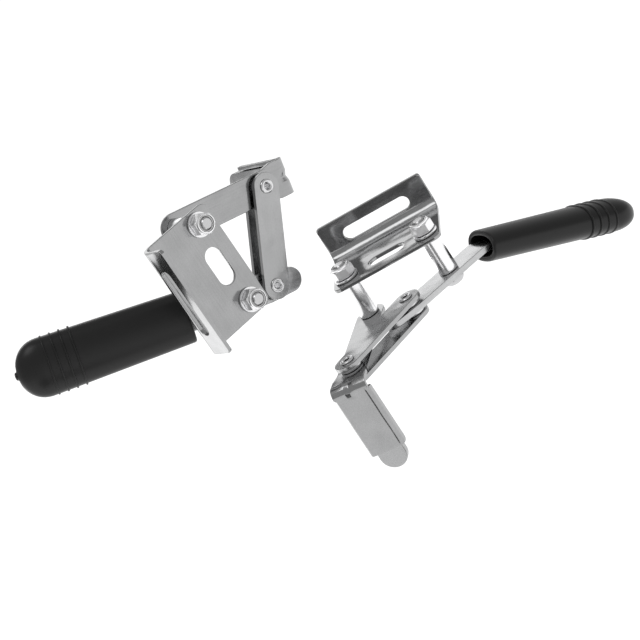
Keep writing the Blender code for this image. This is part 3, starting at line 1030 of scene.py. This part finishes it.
@dataclass(frozen=True)
class PivotBolt:
    """One M8 pivot: bolt, sleeve, washer, and lock nut with its nylon insert."""

    which: str
    plate_thick: float
    head_r: float = 7.25
    head_height: float = 5.0
    washer_r: float = 8.0
    washer_thick: float = 1.6
    flats: float = 13.0
    nut_height: float = 6.3
    collar_r: float = 6.2
    collar_height: float = 1.5
    insert_wall: float = 0.8
    tip: float = 0.8
    sleeve_r: float = 6.5
    pitch: float = 1.25
    crest: float = 0.3
    root_depth: float = 0.35

    @property
    def seat(self) -> float:
        """Return the height of the nut's lower face."""
        return self.washer_thick + 2 * GAP

    @property
    def top(self) -> float:
        """Return the height of the nut's collar."""
        return self.seat + self.nut_height + self.collar_height

    def build(self, clamp: Clamp, thread: Thread) -> None:
        """Make the five pieces and the stud's thread.

        Args:
            clamp: The clamp.
            thread: The tree that winds the thread.
        """
        at = shift(clamp.span if self.which == "lever" else 0.0, 0, 0)
        bore = LINKAGE.bolt_r + GAP
        pieces = {
            "bolt": (self.bolt(), TurnedZinc(0.55, 0.24)),
            "sleeve": (tube(self.sleeve_r, bore, LINKAGE.layer + GAP, -LINKAGE.sheet - GAP, 0.4),
                       TurnedZinc(0.92, 0.2)),
            "washer": (tube(self.washer_r, bore, GAP, GAP + self.washer_thick, 0.25),
                       TurnedZinc(0.85, 0.24)),
            "nut": (self.nut(), TurnedZinc(0.92, 0.3)),
            "nut_insert": (self.insert(), Nylon()),
        }
        for name, (bm, finish) in pieces.items():
            clamp.finish_piece(f"{self.which}_{name}", bm, Limb.BRACKET, finish, at)
        self.wind(clamp, thread, at)

    def bolt(self) -> bmesh.types.BMesh:
        """Return the round head, shank and stud."""
        low = LINKAGE.layer - self.plate_thick - GAP
        r, h, shank = self.head_r, self.head_height, LINKAGE.bolt_r
        tip = self.top + self.tip
        dome = []
        for i in range(10):
            a = math.radians(9.0 * i)
            dome.append((r * 0.5 + r * 0.5 * math.sin(a), low - h + h * 0.8 * (1 - math.cos(a))))
        root = shank - self.root_depth
        return lathe([(0, low - h)] + dome
                     + [(r, low - h * 0.12), (r * 0.96, low), (shank, low), (shank, GAP),
                        (root, GAP + 0.3), (root, tip - 0.7), (root - 0.6, tip), (0, tip)])

    def nut(self) -> bmesh.types.BMesh:
        """Return the hexagon with chamfered corners and its collar."""
        bore = LINKAGE.bolt_r + GAP
        insert_seat = bore + self.insert_wall + GAP
        low, high, half = self.seat, self.seat + self.nut_height, self.flats / 2
        corner = self.flats / math.sqrt(3)
        bm = bmesh.new()

        def ring(limit: float, z: float) -> list:
            """Add a hexagon ring that a circle cuts off.

            Args:
                limit: The circle's radius.
                z: The ring's height.

            Returns:
                The ring's vertices.
            """
            made = []
            for i in range(72):
                a = 2 * math.pi * i / 72
                hexagon = half / math.cos(a % (math.pi / 3) - math.pi / 6)
                r = min(limit, hexagon)
                made.append(bm.verts.new((r * math.cos(a), r * math.sin(a), z)))
            return made

        chamfer = [(half - 0.15, 0.0), (half + 0.25, 0.14), (half + 0.55, 0.3), (corner, 0.55)]
        rings = [ring(bore, low)] + [ring(r, low + d) for r, d in chamfer]
        rings += [ring(r, high - d) for r, d in reversed(chamfer)]
        rings += [ring(r, z) for r, z in (
            (self.collar_r + 0.2, high), (self.collar_r, high + 0.2),
            (self.collar_r, high + self.collar_height - 0.5),
            (self.collar_r - 0.15, high + self.collar_height - 0.15),
            (self.collar_r - 0.5, high + self.collar_height),
            (insert_seat, high + self.collar_height), (insert_seat, high - 0.6),
            (bore, high - 0.6))]
        for a, b in zip(rings, rings[1:] + rings[:1]):
            join_rings(bm, a, b)
        return bm

    def insert(self) -> bmesh.types.BMesh:
        """Return the nylon ring."""
        bore = LINKAGE.bolt_r + GAP
        low = self.seat + self.nut_height - 0.3
        return tube(bore + self.insert_wall, bore, low, self.top - 0.3, 0.15)

    def wind(self, clamp: Clamp, thread: Thread, at: Matrix) -> None:
        """Wind the thread on the stud.

        Args:
            clamp: The clamp.
            thread: The tree that winds it.
            at: The bolt's place.
        """
        name = f"{clamp.side.value}_{self.which}_thread"
        start = GAP + 0.8
        length = self.top + self.tip - 1.0 - start
        finish = TurnedZinc(0.6, 0.24).material(f"{name}_finish", clamp.grain(Limb.BRACKET))
        made = thread.make(name, clamp.place(Limb.BRACKET) @ at @ shift(0, 0, start), {
            "Radius": LINKAGE.bolt_r - self.crest, "Length": length, "Pitch": self.pitch,
            "Crest": self.crest, "Material": finish})
        clamp.mount(made, Limb.BRACKET)


@dataclass(frozen=True)
class HandLever:
    """The flat bar, bent once past its bolt, and the rubber grip on it."""

    half: float = 10.0
    tip_r: float = 8.0
    tip_at: float = 49.0
    taper_at: float = 32.0
    bend_at: float = 22.0
    bend_inner: float = 20.0
    bend: float = 25.0
    kink: float = 2.3
    in_grip: float = 70.0
    grip_start: float = -4.0
    grip_length: float = 111.5
    mouth: Point = (16.7, 10.2)
    widest: Point = (18.7, 10.8)
    dome: float = 18.0
    wall: float = 3.6
    rib_pitch: float = 6.0
    rib_wire: float = 0.75
    rib_sink: float = 0.15
    power: float = 2.3
    ribs: int = 4
    nub_r: float = 2.6
    nub: float = 1.4

    @property
    def fold(self) -> Fold:
        """Return the bar's bend."""
        face = LINKAGE.layer - LINKAGE.bar
        return Fold(0, -self.bend_at, -1, self.bend_inner, self.bend, face, -1, LINKAGE.bar, 10)

    def build(self, clamp: Clamp, ribs: RibRow) -> None:
        """Make the bar, the grip and its ribs.

        Args:
            clamp: The clamp.
            ribs: The tree that makes the ribs.
        """
        clamp.finish_piece("lever_bar", self.bar(clamp), Limb.LEVER, ZincPlate(0.5, 0.26))
        place = self.grip_place()
        grip = clamp.finish_piece("grip", self.grip(), Limb.LEVER, Rubber(), place)
        body = self.grip_length - self.dome
        first = body - self.rib_pitch * (self.ribs - 0.5)
        name = f"{clamp.side.value}_grip_ribs"
        wide, high = self.half_sizes(body)
        row = ribs.make(name, clamp.place(Limb.LEVER) @ place @ shift(first, 0, 0), {
            "Half Width": wide - self.rib_sink, "Half Height": high - self.rib_sink,
            "Power": self.power, "Wire": self.rib_wire, "Pitch": self.rib_pitch,
            "Count": self.ribs,
            "Material": grip.data.materials[0]})
        shade(row)
        clamp.mount(row, Limb.LEVER)

    def bar(self, clamp: Clamp) -> bmesh.types.BMesh:
        """Return the bar, bent.

        Args:
            clamp: The clamp, for the distance from bolt to rivet.

        Returns:
            The bar.
        """
        end = -(self.bend_at + self.fold.arc + self.grip_start + self.in_grip)
        slope = math.tan(math.radians(self.kink))
        drop = slope * (end + self.bend_at)
        tip = arc(self.tip_at, 0, self.tip_r, -86, 172, 24)
        body = rounded([(self.taper_at, self.half, 0), (-self.bend_at, self.half, 0),
                        (end, self.half + drop, 2.0), (end, drop - self.half, 2.0),
                        (-self.bend_at, -self.half, 0), (self.taper_at, -self.half, 0)])
        holes = [circle(0, 0, LINKAGE.bolt_r + GAP),
                 circle(clamp.lever_reach, 0, LINKAGE.rivet_r + GAP)]
        bm = plate(tip + body, holes, LINKAGE.layer - LINKAGE.bar, LINKAGE.layer, 0.45)
        self.fold.cut(bm)
        self.fold.bend(bm)
        return bm

    def half_sizes(self, x: float) -> Point:
        """Return half the grip's width and height at a distance from its mouth."""
        t = min(1.0, x / (self.grip_length - self.dome))
        return tuple(a + (b - a) * t for a, b in zip(self.mouth, self.widest))

    def grip_place(self) -> Matrix:
        """Return the place of the grip's mouth in the lever's frame, with X along the grip."""
        turn, slope = math.radians(self.bend), math.tan(math.radians(self.kink))
        middle = self.bend_inner + LINKAGE.bar / 2
        x = -self.bend_at - middle * math.sin(turn) - self.grip_start * math.cos(turn)
        y = -slope * (middle * turn + self.grip_start)
        w = LINKAGE.layer - LINKAGE.bar / 2 - middle * (1 - math.cos(turn))
        w -= self.grip_start * math.sin(turn)
        along = Vector((-math.cos(turn), -slope, -math.sin(turn))).normalized()
        across = Vector((slope, -math.cos(turn), 0.0))
        across = (across - along * across.dot(along)).normalized()
        basis = Matrix((along, across, along.cross(across))).transposed().to_4x4()
        return shift(x, y, w) @ basis

    def grip(self) -> bmesh.types.BMesh:
        """Return the grip: an oval sleeve with a domed end and an open mouth."""
        bm = bmesh.new()
        body = self.grip_length - self.dome
        outer = []
        for x, grow in ((0.0, -1.0), (0.3, -0.5), (0.8, -0.15), (1.6, 0.0), (body * 0.5, 0.0),
                        (body, 0.0)):
            wide, high = self.half_sizes(x)
            outer.append(oval(bm, x, wide + grow, high + grow, self.power))
        wide, high = self.half_sizes(body)
        for i in range(1, 14):
            t = math.sin(math.radians(90 * i / 14))
            scale = math.sqrt(1 - t ** 2.2)
            if scale * high > self.nub_r:
                outer.append(oval(bm, body + self.dome * t, wide * scale, high * scale,
                                  self.power))
        base = self.grip_length - 0.15
        nub = ((-0.3, 1.15), (0.1, 1.0), (self.nub * 0.5, 0.95), (self.nub * 0.85, 0.7))
        for out, scale in nub:
            outer.append(oval(bm, base + out, self.nub_r * scale, self.nub_r * scale, 2.0))
        pole = [bm.verts.new((base + self.nub, 0, 0))]
        open_y, open_z = self.mouth[0] - self.wall, self.mouth[1] - self.wall
        fit_y, fit_z = self.half + 2 * GAP, LINKAGE.bar / 2 + 2 * GAP
        inner = [oval(bm, 0.0, open_y + 0.9, open_z + 0.9, self.power),
                 oval(bm, 0.3, open_y + 0.3, open_z + 0.3, 2.4), oval(bm, 1.0, open_y, open_z, 2.6),
                 oval(bm, 9.0, max(open_y - 0.6, fit_y + 0.3), open_z - 1.2, 3.0),
                 oval(bm, 14.0, fit_y, fit_z, 9.0),
                 oval(bm, self.in_grip + 1.0, fit_y, fit_z, 9.0)]
        end = [bm.verts.new((self.in_grip + 1.0, 0, 0))]
        chain = [end] + inner[::-1] + outer + [pole]
        for a, b in zip(chain, chain[1:]):
            join_rings(bm, a, b)
        return bm


@dataclass(frozen=True)
class HookArm:
    """The arm: a strip, a right-angled bend with a pressed ridge, and a channel with a foot."""

    half: float = 10.0
    fold_out: float = 23.0
    bend: float = 3.5
    foot_half: float = 12.0
    foot_length: float = 50.0
    foot_wall: float = 7.0
    wall_bend: float = 0.5
    relief: float = 1.2
    pad_thick: float = 5.0
    pad_out: float = 14.0
    pad_depth: float = 32.0
    ridge_half: float = 3.6
    ridge_length: float = 8.0
    ridge_depth: float = 1.2
    play: float = 2.7

    def build(self, clamp: Clamp) -> None:
        """Make the arm and the foot's insert.

        Args:
            clamp: The clamp.
        """
        clamp.finish_piece("arm", self.arm(), Limb.ARM, ZincPlate())
        half = self.foot_half - LINKAGE.sheet - 2 * GAP
        length = self.pad_depth + self.pad_out
        outline = [(1.0, half), (0.0, half - 1.0), (0.0, 1.0 - half), (1.0, -half)]
        outline += arc(length - half, 0, half, -90, 180, 32)
        pad = plate(outline, [], -self.pad_thick / 2, self.pad_thick / 2, 0.6)
        reach = LINKAGE.arm_reach + self.fold_out - LINKAGE.sheet - GAP - self.pad_thick / 2
        local = shift(reach, 0, LINKAGE.layer - self.foot_length + self.pad_depth)
        turn = Matrix.Rotation(math.radians(90), 4, "Y")
        clamp.finish_piece("foot_insert", pad, Limb.ARM, ZincPlate(0.4, 0.26), local @ turn)

    def arm(self) -> bmesh.types.BMesh:
        """Return the arm, folded from one flat pattern."""
        sheet, reach = LINKAGE.sheet, LINKAGE.arm_reach
        low, high = LINKAGE.layer - sheet, LINKAGE.layer
        fold = Fold(0, reach + self.fold_out - self.bend - sheet, 1, self.bend, 90, low, -1, sheet)
        channel = fold.start + fold.arc + self.relief
        end = fold.start + fold.arc + self.foot_length - self.bend - sheet
        line = self.foot_half - self.wall_bend - sheet
        walls = [Fold(1, way * line, way, self.wall_bend, 90, low, -1, sheet, 6) for way in (-1, 1)]
        edge = line + walls[0].arc + self.foot_wall - self.wall_bend - sheet
        flare = fold.start - 6.0
        side = [(0, self.half, 0), (flare - 8.0, self.half, 0), (flare, self.foot_half, 0),
                (channel, self.foot_half, 0), (channel, edge, 1.6), (end, edge, 2.5)]
        outline = rounded([(x, -y, r) for x, y, r in side] + side[::-1], 5)
        outline += arc(0, 0, self.half, 90, 180, 24)[1:-1]
        holes = [circle(0, 0, LINKAGE.bolt_r + GAP), circle(reach, 0, LINKAGE.rivet_r + self.play)]
        bm = plate(outline, holes, low, high, 0.35)
        for one in (fold, *walls):
            one.cut(bm)
        middle = fold.start + fold.arc / 2
        steps = [k / 6 for k in range(-6, 7)]
        cut_rows(bm, 0, [middle + self.ridge_length * k for k in steps])
        cut_rows(bm, 1, [self.ridge_half * k for k in steps])
        pressed = self.ridge(bm, middle)
        for wall in walls:
            wall.bend(bm, lambda co: co.x > channel - 1e-4)
        fold.bend(bm)
        inward = Vector((-1.0, 0.0, -1.0)).normalized()
        for v, depth in pressed.items():
            v.co += inward * depth
        return bm

    def ridge(self, bm: bmesh.types.BMesh, middle: float) -> dict:
        """Return how far each vertex of the pressed ridge moves inwards.

        Args:
            bm: The flat arm.
            middle: The bend's middle line.

        Returns:
            The depth for each vertex inside the ridge.
        """
        pressed = {}
        for v in bm.verts:
            along = abs(v.co.x - middle) / self.ridge_length
            across = abs(v.co.y) / self.ridge_half
            if along < 1 and across < 1:
                pressed[v] = self.ridge_depth * (1 - along ** 2) * (1 - across)
        return pressed


@dataclass(frozen=True)
class LinkPair:
    """Two link plates on two hollow rivets, with a spacer on each side of the lever and arm."""

    half: float = 9.0
    bore: float = 2.0
    ring_r: float = 4.6
    ring_height: float = 0.9
    spacer_r: float = 7.4

    def build(self, clamp: Clamp) -> None:
        """Make the plates, rivets and spacers.

        Args:
            clamp: The clamp.
        """
        front, rear = LINKAGE.front_link, LINKAGE.rear_link
        for name, low in (("front_link", front), ("rear_link", rear - LINKAGE.link)):
            clamp.finish_piece(name, self.link(low), Limb.LINKS, ZincPlate(0.4, 0.24))
        turned = TurnedZinc(0.7, 0.2)
        for which, x, thick in (("lever", 0.0, LINKAGE.bar),
                                ("arm", LINKAGE.link_span, LINKAGE.sheet)):
            at = shift(x, 0, 0)
            bore = LINKAGE.rivet_r + GAP
            near = tube(self.spacer_r, bore, LINKAGE.layer + GAP, front - GAP, 0.2)
            far = tube(self.spacer_r, bore, rear + GAP, LINKAGE.layer - thick - GAP, 0.2)
            clamp.finish_piece(f"{which}_rivet", self.rivet(), Limb.LINKS, turned, at)
            clamp.finish_piece(f"{which}_front_spacer", near, Limb.LINKS, turned, at)
            clamp.finish_piece(f"{which}_rear_spacer", far, Limb.LINKS, turned, at)

    def link(self, low: float) -> bmesh.types.BMesh:
        """Return a link plate.

        Args:
            low: The height of its lower face.

        Returns:
            The plate.
        """
        span = LINKAGE.link_span
        bore = LINKAGE.rivet_r + GAP
        outline = slot(span / 2, 0, span + 2 * self.half, 2 * self.half)
        holes = [circle(0, 0, bore), circle(span, 0, bore)]
        return plate(outline, holes, low, low + LINKAGE.link, 0.4)

    def rivet(self) -> bmesh.types.BMesh:
        """Return a hollow rivet with a rolled ring at each end."""
        high = LINKAGE.front_link + LINKAGE.link + GAP
        low = LINKAGE.rear_link - LINKAGE.link - GAP
        middle = (self.bore + self.ring_r) / 2
        across = (self.ring_r - self.bore) / 2
        roll = []
        for i in range(13):
            a = math.radians(180 * i / 12)
            roll.append((middle + across * math.cos(a), self.ring_height * math.sin(a)))
        upper = [(r, high + z) for r, z in roll]
        lower = [(r, low - z) for r, z in reversed(roll)]
        shank = LINKAGE.rivet_r
        return lathe(lower + [(shank, low), (shank, high)] + upper)


# ---------------------------------------------------------------- stage


class Stage:
    """The floor, the lights and the camera."""

    FLOOR_HALF = 40.0
    FLOOR_DROP = 0.55
    SURROUND = 0.47
    CARD_HALF = 0.3
    CARD_OFFSET = (-0.95, -0.78, -0.44)
    SENSOR, LENS, FAR = 36.0, 137.3, 100.0
    CAMERA = (-0.6008, -1.27, 0.3656)
    CAMERA_RIGHT = (0.6574, -0.5261, -0.5395)
    CAMERA_UP = (0.6084, -0.052, 0.7919)

    def __init__(self) -> None:
        """Find the object's middle."""
        low, high = CAD_BOX
        self.middle = (low + high) / 2
        self.floor_z = low.z - self.FLOOR_DROP

    def build(self) -> None:
        """Make everything that isn't the object."""
        bpy.context.scene.view_settings.view_transform = "Standard"
        self.square("floor", self.FLOOR_HALF, self.floor_z, 0.8, 0.7)
        self.world()
        self.softbox("top_light", (-0.7, -0.3, 1.9), (1.0, 1.0), 6.0)
        self.softbox("back_light", (1.0, 2.6, 1.1), (2.6, 1.1), 9.0)
        self.softbox("low_light", (-0.8, 1.52, -0.5), (0.7, 0.45), 0.9)
        self.card()
        self.camera()

    def square(self, name: str, half: float, z: float, grey: float,
               glow: float) -> bpy.types.Object:
        """Add a matt grey square that lies flat.

        Args:
            name: Its name.
            half: Half its side.
            z: Its height.
            grey: Its colour.
            glow: The strength of its own white light.

        Returns:
            The square.
        """
        mesh = bpy.data.meshes.new(name)
        corners = [(-half, -half, z), (half, -half, z), (half, half, z), (-half, half, z)]
        mesh.from_pydata(corners, [], [(0, 1, 2, 3)])
        made = add_object(name, mesh)
        paint, _, shader = new_material(f"{name}_paint")
        values = {"Base Color": (grey, grey, grey, 1.0), "Roughness": 1.0,
                  "Specular IOR Level": 0.0, "Emission Color": (1.0, 1.0, 1.0, 1.0),
                  "Emission Strength": glow}
        for key, value in values.items():
            shader.inputs[key].default_value = value
        mesh.materials.append(paint)
        return made

    def world(self) -> None:
        """Give the studio an even pale surround."""
        world = bpy.data.worlds.new("studio")
        bpy.context.scene.world = world
        world.use_nodes = True
        surround = world.node_tree.nodes["Background"]
        surround.inputs["Color"].default_value = (1.0, 1.0, 1.0, 1.0)
        surround.inputs["Strength"].default_value = self.SURROUND

    def aim(self, offset: tuple) -> Matrix:
        """Return the matrix of something that faces the object.

        Args:
            offset: Its place from the object's middle.

        Returns:
            The matrix.
        """
        place = self.middle + Vector(offset)
        turn = (self.middle - place).to_track_quat("-Z", "Y")
        return Matrix.Translation(place) @ turn.to_matrix().to_4x4()

    def softbox(self, name: str, offset: tuple, size: Point, power: float) -> None:
        """Hang a soft area light that faces the object.

        Args:
            name: The light's name.
            offset: Its place from the object's middle.
            size: Its width and height.
            power: Its power in watts.
        """
        data = bpy.data.lights.new(name, "AREA")
        data.shape = "RECTANGLE"
        data.size, data.size_y = size
        data.energy = power
        made = add_object(name, data)
        made.matrix_world = self.aim(offset)
        made.visible_camera = False

    def card(self) -> None:
        """Stand a dark card that gives the bright metal its contrast."""
        made = self.square("dark_card", self.CARD_HALF, 0.0, 0.16, 0.0)
        made.matrix_world = self.aim(self.CARD_OFFSET)
        made.visible_camera = False
        made.visible_shadow = False

    def camera(self) -> None:
        """Set the camera up."""
        data = bpy.data.cameras.new("camera")
        data.sensor_width, data.lens, data.clip_end = self.SENSOR, self.LENS, self.FAR
        made = add_object("camera", data)
        right = Vector(self.CAMERA_RIGHT).normalized()
        back = right.cross(Vector(self.CAMERA_UP)).normalized()
        turn = Matrix((right, back.cross(right), back)).transposed().to_4x4()
        made.matrix_world = Matrix.Translation(self.CAMERA) @ turn
        bpy.context.scene.camera = made


def main() -> None:
    """Build both clamps and the stage in order."""
    logging.basicConfig(level=logging.INFO, format="%(name)s: %(message)s")
    Stage().build()
    ribs, thread = RibRow(), Thread()
    for side in Side:
        clamp = Clamp(side)
        Bracket().build(clamp)
        PivotBolt("arm", LINKAGE.sheet).build(clamp, thread)
        PivotBolt("lever", LINKAGE.bar).build(clamp, thread)
        HandLever().build(clamp, ribs)
        HookArm().build(clamp)
        LinkPair().build(clamp)


if __name__ == "__main__":
    main()
